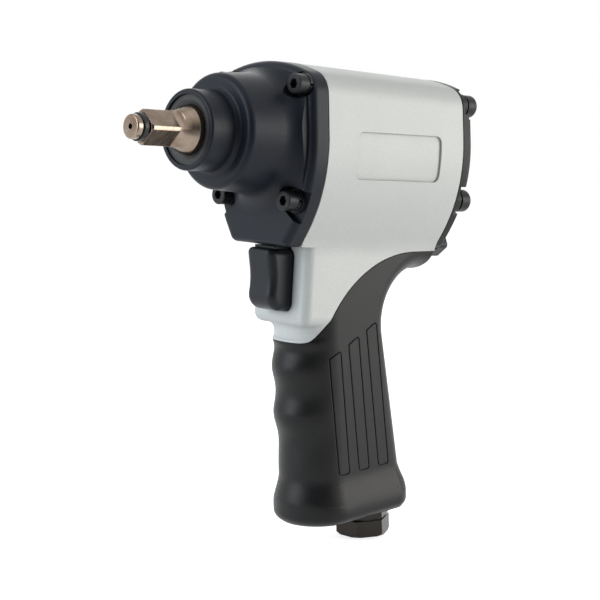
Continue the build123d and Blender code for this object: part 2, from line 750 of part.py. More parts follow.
def motor_housing():
    shell = barrel(0) - below_foot() + handle_shell() - split_region(0)
    housing = shell + (CORE_FORM - under(CORE_DOWN))
    housing -= rod(MOTOR_BORE_R, HOUSING_FRONT, HOUSING_REAR)
    housing -= plate_pocket()
    housing -= trigger_recess()
    housing -= air_ways()
    for x, z in case_screw_places():
        housing -= rod(SCREW_R + SLIP, HOUSING_FRONT, HOUSING_FRONT + SCREW_GRIP, x, z)
    for x, z in cover_screw_places():
        housing -= rod(SCREW_R + SLIP, HOUSING_REAR - SCREW_GRIP, HOUSING_REAR, x, z)
    return housing


def stripe_outline(number):
    """One stripe, drawn in the handle's frame."""
    top = STRIPE_TOP_BACK + number * STRIPE_TOP_PITCH
    top_down = STRIPE_TOP_DOWN - number * STRIPE_TOP_STEP
    low = STRIPE_LOW_BACK + number * STRIPE_LOW_PITCH
    corners = [
        (top, -top_down), (top + STRIPE_WIDTH, STRIPE_TOP_RISE - top_down),
        (low + STRIPE_WIDTH, -STRIPE_LOW_DOWN), (low, -STRIPE_LOW_DOWN),
    ]
    return make_face(FilletPolyline(*corners, radius=STRIPE_ROUND, close=True))


def grip_stripes():
    """Narrow grooves round each stripe, on both sides of the grip."""
    faces = [stripe_outline(number) for number in range(STRIPE_COUNT)]
    rims = [face - offset(face, -STRIPE_GROOVE) for face in faces]
    grooves = [HANDLE * side_slab(rim, HALF_WIDTH * 2) for rim in rims]
    return joined(grooves) - handle_form(STRIPE_DEPTH, False)


def grip_sleeve():
    outside = handle_form(0, True, SLEEVE_STRIP_DEPTH) + foot_form()
    outside &= split_region(SPLIT_GAP)
    return outside - handle_form(SLEEVE_WALL - SLIP, False) - grip_stripes()


def rear_gasket():
    sheet = slab(flange_face(CROWN_DROP, GASKET), HOUSING_REAR, COVER_SEAT)
    sheet -= rod(MOTOR_BORE_R, HOUSING_REAR, COVER_SEAT)
    sheet -= rod(SPOOL_NECK_R + RUN, HOUSING_REAR, COVER_SEAT, 0, VALVE_Z)
    for x, z in cover_screw_places():
        sheet -= rod(SCREW_R + SLIP, HOUSING_REAR, COVER_SEAT, x, z)
    return sheet


def cover_platform():
    """Raised middle of the rear cover, cut away round the lever."""
    raised = slab(flange_face(CROWN_DROP, PLATFORM_INSET), COVER_FACE, PLATFORM_FACE)
    raised = fillet(raised.faces().sort_by(Axis.Y)[-1].outer_wire().edges(), COVER_ROUND)
    raised -= Pos(0, PLATFORM_FACE, PLATFORM_BOTTOM) * Box(
        FLANK_X * 2, PLATFORM_T * 3, FLANK_X, align=(Align.CENTER, Align.CENTER, Align.MAX)
    )
    room = slab(lever_outline(GAP), COVER_FACE, PLATFORM_FACE)
    for angle in (-LEVER_SWING, 0, LEVER_SWING):
        raised -= room.rotate(Axis((0, 0, VALVE_Z), (0, 1, 0)), angle)
    return raised


def cover_slot():
    """Cutter for a slot that opens along +X from a screw on the origin, less the boss under its washer."""
    depth = PLATFORM_FACE - SLOT_FLOOR
    way = Box(FLANK_X, depth, COVER_SLOT_R * 2, align=(Align.MIN, Align.MIN, Align.CENTER))
    slot = rod(COVER_SLOT_R, SLOT_FLOOR, PLATFORM_FACE) + Pos(0, SLOT_FLOOR, 0) * way
    return slot - rod(COVER_BOSS_R, SLOT_FLOOR, COVER_SCREW_SEAT)


def cover_slots():
    """The four slots of the rear cover's screws."""
    upper = Pos(COVER_SCREW_X, 0, COVER_SCREW_UPPER_Z) * Rot(0, -COVER_SLOT_TILT, 0) * cover_slot()
    lower = Pos(COVER_SCREW_X, 0, COVER_SCREW_LOWER_Z) * cover_slot()
    return joined([upper, lower, mirror(upper, Plane.YZ), mirror(lower, Plane.YZ)])


def rear_cover():
    cover = slab(flange_face(CROWN_DROP, 0), COVER_SEAT, COVER_FACE)
    cover = fillet(cover.faces().sort_by(Axis.Y)[-1].outer_wire().edges(), COVER_ROUND)
    cover += cover_platform()
    cover -= cover_slots()
    spigot_r = MOTOR_BORE_R - SLIP
    cover += tube(spigot_r, spigot_r - SPIGOT_WALL, REAR_PLATE_BACK + SEAT, COVER_SEAT)
    cover -= rod(SPOOL_NECK_R + RUN, COVER_SEAT, COVER_FACE, 0, VALVE_Z)
    cover -= rod(DETENT_R + RUN, COVER_FACE - DETENT_DEPTH, COVER_FACE, 0, VALVE_Z + DETENT_REACH)
    for x, z in cover_screw_places():
        cover -= rod(SCREW_R + SLIP, COVER_SEAT, COVER_FACE, x, z)
    return cover


# Screws and washers

def cap_screw(length, head_r, head, head_round):
    """Socket head cap screw along Y with the underside of its head at the origin."""
    body = lathe(
        [(0, -head), (head_r, -head), (head_r, 0), (SCREW_R, 0), (SCREW_R, length), (0, length)],
        [0, head_round, 0, 0, SCREW_EDGE, 0],
    )
    return body - slab(hexagon(SCREW_SOCKET), -head, SCREW_SOCKET_DEPTH - head)


def spring_washer():
    """Split washer along Y, starting at the origin."""
    ring = tube(WASHER_R, SCREW_R + SLIP, 0, WASHER_T)
    split = Box(WASHER_R * 2, WASHER_T * 4, WASHER_SPLIT, align=(Align.MIN, Align.CENTER, Align.CENTER))
    return ring - split


def hammer_case_screws():
    length = HOUSING_FRONT + SCREW_GRIP - GAP - SPOT_FACE + WASHER_T
    screw = cap_screw(length, SCREW_HEAD_R, SCREW_HEAD, SCREW_EDGE)
    return joined([Pos(x, SPOT_FACE - WASHER_T, z) * screw for x, z in case_screw_places()])


def hammer_case_washers():
    return joined([Pos(x, SPOT_FACE - WASHER_T, z) * spring_washer() for x, z in case_screw_places()])


def rear_cover_screws():
    length = COVER_SCREW_SEAT + WASHER_T - HOUSING_REAR + SCREW_GRIP - GAP
    screw = Rot(0, 0, 180) * cap_screw(length, COVER_HEAD_R, COVER_HEAD, COVER_HEAD_ROUND)
    return joined([Pos(x, COVER_SCREW_SEAT + WASHER_T, z) * screw for x, z in cover_screw_places()])


def rear_cover_washers():
    return joined([Pos(x, COVER_SCREW_SEAT, z) * spring_washer() for x, z in cover_screw_places()])


# Trigger, throttle and air inlet

def trigger():
    middle = (TRIGGER_TOP + TRIGGER_BOTTOM) / 2
    profile = FilletPolyline(
        (TRIGGER_BACK, TRIGGER_TOP),
        (TRIGGER_FRONT, TRIGGER_TOP),
        (TRIGGER_FRONT + TRIGGER_HOLLOW, middle),
        (TRIGGER_FRONT + TRIGGER_HOLLOW / 2, TRIGGER_BOTTOM),
        (TRIGGER_BACK, TRIGGER_BOTTOM),
        radius=[0, TRIGGER_LIP, TRIGGER_BOW, TRIGGER_CHIN, 0],
        close=True,
    )
    blade = side_slab(make_face(profile), TRIGGER_HALF)
    edges = blade.faces().sort_by(Axis.X)[0].edges() + blade.faces().sort_by(Axis.X)[-1].edges()
    back = [e for e in edges if e.center().Y > TRIGGER_BACK - SLIP]
    blade = fillet([e for e in edges if e not in back], TRIGGER_EDGE)
    tongue = Box(TONGUE_HALF * 2, TONGUE_LENGTH, TRIGGER_EDGE, align=(Align.CENTER, Align.MIN, Align.MAX))
    blade += Pos(0, TONGUE_FRONT, TRIGGER_TOP + TONGUE_RISE) * tongue
    return blade - rod(PIN_R + SLIP, TRIGGER_BACK - PIN_HOLD, TRIGGER_BACK, 0, PIN_Z)


def trigger_pin():
    tip = STEM_Y - STEM_R / math.cos(math.radians(PASSAGE_LEAN)) - PIN_REST
    pin = rod(PIN_R, TRIGGER_BACK - PIN_HOLD, tip - PIN_R, 0, PIN_Z)
    return pin + Pos(0, tip - PIN_R, PIN_Z) * Sphere(PIN_R)


def valve_seat():
    ring = post(PASSAGE_R - SLIP, VALVE_SEAT_UP, VALVE_SEAT_UP + VALVE_SEAT_T)
    return PASSAGE * (ring - post(VALVE_SEAT_BORE_R, VALVE_SEAT_UP, VALVE_SEAT_UP + VALVE_SEAT_T))


def throttle_valve():
    disc = post(VALVE_R, VALVE_SEAT_UP - VALVE_T, VALVE_SEAT_UP - SEAT)
    shoulder = STEM_TOP - STEM_R
    stem = post(STEM_R, VALVE_SEAT_UP - VALVE_T, shoulder) + Pos(0, 0, shoulder) * Sphere(STEM_R)
    return PASSAGE * (disc + stem)


def valve_spring():
    low = SCREEN_RISE + SPRING_LIFT
    length = VALVE_SEAT_UP - VALVE_T - SEAT - low
    return PASSAGE * Pos(0, 0, low) * coil(VALVE_SPRING_R, VALVE_SPRING_WIRE, length, VALVE_SPRING_TURNS)


def inlet_axis():
    """Frame on the inlet's axis at the top of its shank, Z up."""
    return HANDLE * Pos(0, INLET_BACK, -INLET_SHANK_TOP)


def inlet_screen():
    thimble = post(SCREEN_R, -SCREEN_FLANGE_T, SCREEN_RISE) - post(
        SCREEN_R - SCREEN_WALL, -SCREEN_FLANGE_T, SCREEN_RISE - SCREEN_WALL
    )
    thimble += post(PASSAGE_R - SLIP, -SCREEN_FLANGE_T, -SEAT) - post(SCREEN_R, -SCREEN_FLANGE_T, -SEAT)
    pitch = SCREEN_RISE / (SCREEN_ROWS + 1)
    drill = Rot(90, 0, 0) * Cylinder(SCREEN_HOLE_R, SCREEN_R * 3)
    for row in range(SCREEN_ROWS):
        for column in range(SCREEN_COLUMNS):
            thimble -= Pos(0, 0, pitch * (row + 1)) * Rot(0, 0, column * 180 / SCREEN_COLUMNS) * drill
    return inlet_axis() * thimble


def air_inlet():
    hex_top = INLET_SHANK_TOP - CORE_DOWN - DEFLECTOR_T - SEAT
    groove_top = hex_top - INLET_UPPER_HEX
    groove_low = groove_top - INLET_GROOVE
    mouth = groove_low - INLET_LOWER_HEX
    flats = hexagon(INLET_HEX)
    upper = extrude(Pos(0, 0, groove_top) * flats, INLET_UPPER_HEX)
    lower = extrude(Pos(0, 0, mouth) * flats, INLET_LOWER_HEX)
    corner = INLET_HEX / math.sqrt(3)
    trim = post(corner, mouth, groove_low)
    trim = chamfer(trim.faces().sort_by(Axis.Z)[0].edges(), INLET_CHAMFER)
    inlet = post(INLET_SHANK_R, hex_top, -SEAT) + upper + (lower & trim)
    inlet += post(INLET_GROOVE_R, groove_low, groove_top)
    inlet -= post(INLET_BORE_R, mouth, 0)
    inlet -= post(INLET_THREAD_R, mouth, mouth + INLET_THREAD_LENGTH)
    inlet -= post(PASSAGE_R, -SCREEN_FLANGE_T - SEAT, 0)
    inlet -= inlet_ring_groove()
    return inlet_axis() * inlet


def inlet_ring_groove():
    """Square groove for the O-ring on the inlet's shank."""
    floor = INLET_SHANK_R - INLET_RING_WIRE * 2
    half = INLET_RING_WIRE + SLIP
    return post(INLET_SHANK_R, -INLET_RING_DOWN - half, half - INLET_RING_DOWN) - post(
        floor - SLIP, -INLET_RING_DOWN - half, half - INLET_RING_DOWN
    )


def inlet_o_ring():
    ring = Torus(INLET_SHANK_R - INLET_RING_WIRE, INLET_RING_WIRE)
    return inlet_axis() * Pos(0, 0, -INLET_RING_DOWN) * ring


def muffler_pad(grow):
    """Felt pad's outline in the handle frame."""
    length = MUFFLER_LENGTH + grow * 2
    return Pos(0, SLOT_CENTRE) * RectangleRounded(MUFFLER_WIDTH + grow * 2, length, MUFFLER_ROUND)


def exhaust_deflector():
    plate = CORE_FORM & under(CORE_DOWN + SEAT)
    plate -= under(CORE_DOWN + DEFLECTOR_T)
    plate -= HANDLE * post(INLET_SHANK_R + SLIP, -FOOT_DOWN, -CORE_DOWN, INLET_BACK)
    pocket = extrude(Pos(0, 0, -CORE_DOWN - MUFFLER_T) * muffler_pad(SLIP), MUFFLER_T)
    plate -= HANDLE * pocket
    for n in range(SLOT_COUNT):
        y = SLOT_CENTRE + (n - (SLOT_COUNT - 1) / 2) * SLOT_PITCH
        slot = Pos(0, y) * SlotOverall(SLOT_LENGTH, SLOT_WIDTH)
        plate -= HANDLE * Pos(0, 0, -FOOT_DOWN) * extrude(slot, FOOT_DOWN - CORE_DOWN)
    return plate


def muffler():
    pad = Pos(0, 0, SLIP - CORE_DOWN - MUFFLER_T) * muffler_pad(0)
    return HANDLE * extrude(pad, MUFFLER_T - SLIP - SEAT)


# Drive and hammer mechanism

def square_flats():
    """Cutters that mill the four flats of the square, each with a rounded run-out."""
    flat = SQUARE / 2
    profile = FilletPolyline(
        (SQUARE_END, flat), (FLAT_END, flat), (FLAT_END, SHANK_R * 2), (SQUARE_END, SHANK_R * 2),
        radius=[0, FLAT_RUN_OUT, 0, 0],
        close=True,
    )
    cutter = side_slab(make_face(profile), SHANK_R)
    return joined([cutter.rotate(Axis.Y, 45 + 90 * n) for n in range(4)])


def anvil():
    shaft_end = CAGE_FRONT + CAGE_FRONT_T
    turned = lathe(
        [(0, TIP_END), (TIP_R, TIP_END), (TIP_R, RING_GROOVE_START), (RING_GROOVE_R, RING_GROOVE_START),
         (RING_GROOVE_R, SQUARE_END), (SQUARE_CORNER_R - SQUARE_BEVEL, SQUARE_END),
         (SQUARE_CORNER_R, SQUARE_END + SQUARE_BEVEL), (SQUARE_CORNER_R, TRUMPET_START),
         (SHANK_R, SHANK_START), (SHANK_R, shaft_end),
         (ANVIL_CORE_R, shaft_end), (ANVIL_CORE_R, DOG_END), (0, DOG_END)],
        [0, TIP_EDGE, 0, 0, 0, 0, 0, TRUMPET_BEND, TIP_EDGE, 0, 0, 0, 0],
    )
    jaw = Box(JAW_WIDTH, DOG_LENGTH, JAW_R * 2, align=(Align.CENTER, Align.MIN, Align.MIN))
    upper = rod(JAW_R, shaft_end, DOG_END) & (Pos(0, DOG_FRONT - DOG_SIDE_GAP, 0) * jaw)
    lower = rod(JAW_R, shaft_end, DOG_END) & (Pos(0, DOG_REAR, 0) * Rot(0, 180, 0) * jaw)
    return turned - square_flats() + upper + lower - rod(TIP_HOLE_R, TIP_END, TIP_END + TIP_HOLE_DEPTH)


def socket_retaining_ring():
    end = RETAINER_START + RETAINER_WIDTH
    ring = tube(RETAINER_R, RING_GROOVE_R + RING_WIRE * 2 + SEAT * 2, RETAINER_START, end)
    ring = fillet(ring.faces().sort_by(Axis.Y)[0].outer_wire().edges(), RETAINER_EDGE)
    slit = Box(
        RETAINER_SPLIT, RETAINER_WIDTH * 4, RETAINER_R * 2, align=(Align.CENTER, Align.CENTER, Align.MAX)
    )
    return ring - Pos(0, RETAINER_START, 0) * slit


def retaining_o_ring():
    middle = RETAINER_START + RETAINER_WIDTH / 2
    return ring_of_wire(RING_GROOVE_R + RING_WIRE + SEAT, RING_WIRE, middle)


def anvil_bushing():
    return tube(BUSHING_R, SHANK_R + RUN, SEAL_BACK, CAVITY_FRONT)


def nose_seal():
    return lathe(
        [(SEAL_R, SEAL_FRONT), (SEAL_R, SEAL_BACK - SEAT), (SEAL_BORE_R, SEAL_BACK - SEAT),
         (SEAL_BORE_R, SEAL_LIP_BACK), (SHANK_R + RUN, SEAL_LIP_FRONT),
         (SEAL_BORE_R + SEAL_LIP_RISE, SEAL_FRONT)],
        [0, 0, 0, 0, 0, 0],
    )


def hammer_frame():
    cage = rod(CAGE_R, CAGE_FRONT, CAGE_BACK)
    inner = CAGE_BACK - CAGE_BACK_T - CAGE_FRONT - CAGE_FRONT_T
    cage -= Pos(0, CAGE_FRONT + CAGE_FRONT_T, 0) * Box(
        POST_X * 2, inner, CAGE_R * 2, align=(Align.CENTER, Align.MIN, Align.CENTER)
    )
    cage -= rod(CAGE_HOLE_R, CAGE_FRONT, CAGE_FRONT + CAGE_FRONT_T)
    cage -= slab(hexagon(DRIVE_HEX + SLIP * 2), CAGE_BACK - CAGE_BACK_T, CAGE_BACK)
    for z in (-HAMMER_PIN_Z, HAMMER_PIN_Z):
        cage -= rod(HAMMER_PIN_R + SLIP, CAGE_FRONT, CAGE_BACK, 0, z)
    return cage


def hammer_pins():
    ends = (CAGE_FRONT + DOG_SIDE_GAP, CAGE_BACK - DOG_SIDE_GAP)
    return joined([rod(HAMMER_PIN_R, *ends, 0, z) for z in (-HAMMER_PIN_Z, HAMMER_PIN_Z)])


def hammer_dog(start):
    """Swinging hammer hung on the upper pin, its striking lug on +X."""
    end = start + DOG_LENGTH
    flats = Box(DOG_FLAT * 2, DOG_LENGTH, DOG_R * 2, align=(Align.CENTER, Align.MIN, Align.CENTER))
    dog = rod(DOG_R, start, end) & (Pos(0, start, 0) * flats)
    bore = rod(DOG_HOLE_R, start, end)
    lug = Box(DOG_HOLE_R, DOG_LENGTH, DOG_LUG_HALF * 2, align=(Align.MIN, Align.MIN, Align.CENTER))
    dog -= bore - (Pos(DOG_LUG_R, start, 0) * lug)
    pivot_r = HAMMER_PIN_R + DOG_PIN_GAP
    dog -= rod(pivot_r, start, end, 0, HAMMER_PIN_Z)
    mouth = Box(pivot_r * 2, DOG_LENGTH, DOG_R, align=(Align.CENTER, Align.MIN, Align.MIN))
    dog -= Pos(0, start, HAMMER_PIN_Z) * mouth
    notch = Box(DOG_NOTCH_HALF * 2, DOG_LENGTH, DOG_R, align=(Align.CENTER, Align.MIN, Align.MAX))
    return dog - Pos(0, start, -DOG_NOTCH_R) * notch


def hammer_dog_front():
    return hammer_dog(DOG_FRONT)


def hammer_dog_rear():
    return hammer_dog(DOG_REAR).rotate(Axis.Y, 180)


# Air motor

def front_end_plate():
    plate = rod(MOTOR_BORE_R - SLIP, HOUSING_FRONT, CYLINDER_FRONT - SEAT)
    plate -= rod(BEARING_R + SLIP, HOUSING_FRONT, CYLINDER_FRONT - PLATE_WEB)
    plate -= rod(SHAFT_R + GAP, HOUSING_FRONT, CYLINDER_FRONT)
    return plate - rod(DOWEL_R + SLIP, HOUSING_FRONT + DOWEL_END, CYLINDER_FRONT, 0, DOWEL_Z)


def rear_end_plate():
    plate = rod(MOTOR_BORE_R - SLIP, CYLINDER_BACK + SEAT, REAR_PLATE_BACK)
    plate -= rod(BEARING_R + SLIP, CYLINDER_BACK + PLATE_WEB, REAR_PLATE_BACK)
    plate -= rod(SHAFT_R + GAP, CYLINDER_BACK, REAR_PLATE_BACK)
    return plate - rod(DOWEL_R + SLIP, CYLINDER_BACK, REAR_PLATE_BACK - DOWEL_END, 0, DOWEL_Z)


def bearing(start):
    """Outer race with its shields, along Y."""
    end = start + BEARING_T
    race = tube(BEARING_R, SHAFT_R + RACE_T + RUN, start, end)
    groove = tube(BEARING_R - RACE_T, SHAFT_R + RACE_T + RUN, start, start + SHIELD_SINK)
    return race - groove - Pos(0, BEARING_T - SHIELD_SINK, 0) * groove


def front_bearing():
    return bearing(FRONT_BEARING)


def rear_bearing():
    return bearing(REAR_BEARING)


def front_bearing_ring():
    return tube(SHAFT_R + RACE_T, SHAFT_R + SEAT, FRONT_BEARING, FRONT_BEARING + BEARING_T)


def rear_bearing_ring():
    return tube(SHAFT_R + RACE_T, SHAFT_R + SEAT, REAR_BEARING, REAR_BEARING + BEARING_T)


def motor_cylinder():
    liner = rod(MOTOR_BORE_R - SLIP, CYLINDER_FRONT, CYLINDER_BACK)
    liner -= rod(CYLINDER_BORE_R, CYLINDER_FRONT, CYLINDER_BACK, 0, CYLINDER_OFFSET)
    liner -= rod(DOWEL_R + SLIP, CYLINDER_FRONT, CYLINDER_BACK, 0, DOWEL_Z)
    first = (CYLINDER_FRONT + CYLINDER_BACK - PORT_PITCH * (PORT_COUNT - 1)) / 2
    for n in range(PORT_COUNT):
        for side in (-1, 1):
            port = Pos(side * EXHAUST_X, first + n * PORT_PITCH, 0) * Cylinder(
                PORT_R, MOTOR_BORE_R, align=(Align.CENTER, Align.CENTER, Align.MAX)
            )
            liner -= port
    return liner


def cylinder_dowel():
    return rod(DOWEL_R, HOUSING_FRONT + DOWEL_END + SLIP, REAR_PLATE_BACK - DOWEL_END - SLIP, 0, DOWEL_Z)


def vane_slot(root, thickness, grow):
    """Blade standing on the rotor's axis, from a root radius outward, between the rotor's ends."""
    start = CYLINDER_FRONT + ROTOR_END_GAP - grow
    length = CYLINDER_LENGTH - ROTOR_END_GAP * 2 + grow * 2
    blade = Box(thickness, length, ROTOR_R, align=(Align.CENTER, Align.MIN, Align.MIN))
    return Pos(0, start, root) * blade


def rotor():
    core = rod(ROTOR_R, CYLINDER_FRONT + ROTOR_END_GAP, CYLINDER_BACK - ROTOR_END_GAP)
    core += rod(SHAFT_R, CAGE_BACK, REAR_PLATE_BACK)
    core += slab(hexagon(DRIVE_HEX), CAGE_BACK - CAGE_BACK_T + GAP, CAGE_BACK)
    for n in range(VANES):
        core -= vane_slot(VANE_ROOT_R, VANE_T + SLIP * 2, SLIP).rotate(Axis.Y, n * 360 / VANES)
    return core


def rotor_vanes():
    blade = vane_slot(VANE_ROOT_R + SEAT, VANE_T, 0)
    blade &= rod(ROTOR_R - VANE_SINK, CYLINDER_FRONT, CYLINDER_BACK)
    return joined([blade.rotate(Axis.Y, n * 360 / VANES) for n in range(VANES)])


# Reverse valve

def reverse_valve_bushing():
    bush = tube(BUSH_R, SPOOL_R + RUN, SPOOL_FRONT, HOUSING_REAR - SEAT, 0, VALVE_Z)
    for y in (BUSH_PORT_FRONT, BUSH_PORT_REAR):
        bush -= Pos(0, y, VALVE_Z) * Cylinder(BUSH_PORT_R, BUSH_R * 3)
    return bush


def reverse_valve():
    spool = rod(SPOOL_R, SPOOL_FRONT, SPOOL_SHOULDER, 0, VALVE_Z)
    spool += rod(SPOOL_NECK_R, SPOOL_SHOULDER, LEVER_FACE, 0, VALVE_Z)
    key = Pos(0, VALVE_Z) * Rectangle(SPOOL_KEY, SPOOL_KEY)
    spool += slab(key, LEVER_FACE, LEVER_FACE + SPOOL_KEY_LENGTH)
    spool -= rod(SPOOL_BORE_R, SPOOL_FRONT, SPOOL_FRONT + SPOOL_PORT_LENGTH, 0, VALVE_Z)
    spool -= Pos(0, BUSH_PORT_FRONT, VALVE_Z) * Cylinder(
        SPOOL_PORT_R, SPOOL_R * 2, align=(Align.CENTER, Align.CENTER, Align.MIN)
    )
    floor = SPOOL_R - SPOOL_RING_WIRE * 2 - SEAT
    half = SPOOL_RING_WIRE + SLIP
    spool -= tube(SPOOL_R, floor, SPOOL_RING_Y - half, SPOOL_RING_Y + half, 0, VALVE_Z)
    end = LEVER_FACE + SPOOL_KEY_LENGTH
    return spool - rod(LEVER_SCREW_R + SLIP, end - LEVER_SCREW_LENGTH, end, 0, VALVE_Z)


def spool_o_ring():
    return ring_of_wire(SPOOL_R - SPOOL_RING_WIRE, SPOOL_RING_WIRE, SPOOL_RING_Y, VALVE_Z)


def lever_outline(grow):
    """Hub and paddle of the reverse lever, grown all round."""
    places = [(LEVER_SHOULDER_X, LEVER_SHOULDER_DOWN), (LEVER_TIP_X, LEVER_TIP_DOWN)]
    rounds = [
        Pos(side * x, VALVE_Z - down) * Circle(LEVER_ROUND + grow) for x, down in places for side in (-1, 1)
    ]
    rounds.append(Pos(0, VALVE_Z) * Circle(LEVER_HUB_R + grow))
    return make_hull([edge for disc in rounds for edge in disc.edges()])


def reverse_lever():
    back = LEVER_FACE + LEVER_T
    lever = slab(lever_outline(0), LEVER_FACE, back)
    lever = fillet(lever.faces().sort_by(Axis.Y)[-1].outer_wire().edges(), LEVER_EDGE)
    key = Pos(0, VALVE_Z) * Rectangle(SPOOL_KEY + SLIP * 2, SPOOL_KEY + SLIP * 2)
    lever -= slab(key, LEVER_FACE, LEVER_FACE + SPOOL_KEY_LENGTH + SEAT)
    lever -= rod(LEVER_SCREW_R + SLIP, LEVER_FACE, back, 0, VALVE_Z)
    lever -= rod(LEVER_SCREW_HEAD_R + SLIP, back - LEVER_SCREW_HEAD, back, 0, VALVE_Z)
    centre = COVER_FACE + DETENT_RISE - DETENT_R
    return lever - Pos(0, centre, VALVE_Z) * Rot(90, 0, 0) * Torus(DETENT_REACH, DETENT_R + GAP)


def lever_screw():
    seat = LEVER_FACE + LEVER_T - LEVER_SCREW_HEAD + SEAT
    head = rod(LEVER_SCREW_HEAD_R, seat, seat + LEVER_SCREW_HEAD - LEVER_SCREW_SINK, 0, VALVE_Z)
    tip = LEVER_FACE + SPOOL_KEY_LENGTH - LEVER_SCREW_LENGTH + GAP
    screw = head + rod(LEVER_SCREW_R, tip, seat, 0, VALVE_Z)
    top = seat + LEVER_SCREW_HEAD - LEVER_SCREW_SINK
    socket = Pos(0, VALVE_Z) * hexagon(LEVER_SCREW_SOCKET)
    return screw - slab(socket, top - LEVER_SCREW_SOCKET_DEPTH, top)


def detent_ball():
    return Pos(0, COVER_FACE + DETENT_RISE - DETENT_R, VALVE_Z + DETENT_REACH) * Sphere(DETENT_R)


def detent_spring():
    floor = COVER_FACE - DETENT_DEPTH
    length = DETENT_DEPTH + DETENT_RISE - DETENT_R * 2 + DETENT_CUP
    wound = coil(DETENT_SPRING_R, DETENT_SPRING_WIRE, length, DETENT_SPRING_TURNS)
    return Pos(0, floor, VALVE_Z + DETENT_REACH) * Rot(-90, 0, 0) * wound


GRIP_FORM = handle_form(0, True)
CORE_FORM = handle_form(SLEEVE_WALL, False)

PIECES = [
    motor_housing, hammer_case, rear_cover, grip_sleeve, case_gasket, rear_gasket,
    hammer_case_screws, hammer_case_washers, rear_cover_screws, rear_cover_washers,
    trigger, trigger_pin, throttle_valve, valve_seat, valve_spring,
    air_inlet, inlet_o_ring, inlet_screen, exhaust_deflector, muffler,
    anvil, socket_retaining_ring, retaining_o_ring, anvil_bushing, nose_seal,
    hammer_frame, hammer_pins, hammer_dog_front, hammer_dog_rear,
    front_end_plate, rear_end_plate, front_bearing, rear_bearing, front_bearing_ring, rear_bearing_ring,
    motor_cylinder, cylinder_dowel, rotor, rotor_vanes,
    reverse_valve, reverse_valve_bushing, spool_o_ring, reverse_lever, lever_screw,
    detent_ball, detent_spring,
]

os.makedirs("parts", exist_ok=True)
for piece in PIECES:
    export_step(piece(), f"parts/{piece.__name__}.step")
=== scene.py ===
import json
import math

import bmesh
import bpy
import numpy as np
from mathutils import Matrix, Vector


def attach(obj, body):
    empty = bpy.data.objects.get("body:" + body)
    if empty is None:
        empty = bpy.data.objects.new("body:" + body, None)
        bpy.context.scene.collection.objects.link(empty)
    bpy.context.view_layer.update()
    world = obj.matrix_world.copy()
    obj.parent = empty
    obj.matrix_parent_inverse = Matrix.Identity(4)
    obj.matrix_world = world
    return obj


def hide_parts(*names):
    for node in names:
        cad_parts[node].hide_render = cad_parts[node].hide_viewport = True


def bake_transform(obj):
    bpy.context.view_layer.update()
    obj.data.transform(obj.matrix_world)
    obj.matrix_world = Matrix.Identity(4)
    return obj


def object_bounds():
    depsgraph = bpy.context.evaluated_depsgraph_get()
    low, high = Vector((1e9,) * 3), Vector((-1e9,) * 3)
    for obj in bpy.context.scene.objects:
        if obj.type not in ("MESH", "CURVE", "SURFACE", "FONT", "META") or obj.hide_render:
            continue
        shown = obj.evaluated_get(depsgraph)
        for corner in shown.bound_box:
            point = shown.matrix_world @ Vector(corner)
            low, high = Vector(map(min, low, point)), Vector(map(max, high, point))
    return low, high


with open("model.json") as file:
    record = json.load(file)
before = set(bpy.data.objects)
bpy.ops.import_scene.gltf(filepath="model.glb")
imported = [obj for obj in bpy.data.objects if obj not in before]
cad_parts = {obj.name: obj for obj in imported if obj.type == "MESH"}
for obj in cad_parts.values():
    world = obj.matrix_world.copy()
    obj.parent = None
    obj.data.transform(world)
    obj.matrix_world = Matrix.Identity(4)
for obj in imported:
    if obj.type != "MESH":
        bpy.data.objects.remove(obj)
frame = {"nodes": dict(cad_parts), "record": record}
cad_low, cad_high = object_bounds()
NODES = frame["nodes"]
MM_PER_METRE = 1000.0

# Camera, fitted to points of the part that show in the photograph. Places are in metres, angles in degrees,
# and the lens and its sensor in millimetres.
CAMERA_AZIMUTH = 46.895
CAMERA_ELEVATION = 4.948
CAMERA_ROLL = 3.312
CAMERA_DISTANCE = 0.67962
CAMERA_TARGET = (0.007752, 0.060, -0.058316)
CAMERA_LENS = 114.03
SENSOR_WIDTH = 36.0
CLIP_NEAR, CLIP_FAR = 0.01, 50.0

# Floor and room
FLOOR_HALF = 6.0
FLOOR_DROP = 0.0004
FLOOR_COLOUR = (0.85, 0.85, 0.85)
FLOOR_ROUGHNESS = 0.9
FLOOR_GLOW = 0.80
PAPER_SCALE = 9.0
PAPER_SHADE = 0.985
AMBIENT = 0.25
AMBIENT_COLOUR = (0.95, 0.97, 1.0)
WHITE = (1.0, 1.0, 1.0)

# The unlit side of the studio behind the camera, which shows in reflections only: its strength, the angles
# of its soft edge, and where its fall on the floor begins and ends
DARK_SIDE = 0.04
DARK_INNER, DARK_OUTER = math.radians(26.0), math.radians(52.0)
DARK_NEAR, DARK_FAR = 0.08, 0.35

# Soft boxes: place, size, power in watts, colour
SOFT_BOXES = {
    "front_box": ((-0.45, -1.05, 0.30), (0.75, 0.9), 9.0, (0.84, 0.925, 1.0)),
    "side_box": ((0.95, 0.95, 0.14), (0.8, 0.8), 10.2, (1.0, 0.972, 0.935)),
    "top_box": ((0.25, 0.05, 1.15), (0.9, 0.9), 0.8, (1.0, 1.0, 1.0)),
    "back_box": ((-0.95, 0.75, 0.35), (0.8, 0.8), 2.4, (1.0, 0.98, 0.96)),
}
LIGHT_AIM = (0.0, 0.055, -0.05)

# Textures in common. Scales are noise cycles in a metre, and a span is the part of a value that is
# stretched out.
MIDDLE_SPAN = (0.3, 0.7)
GLOSS_UNDER, GLOSS_OVER = 0.05, 0.06
EDGE_SPAN = (0.02, 0.25)
BEVEL_SAMPLES = 4

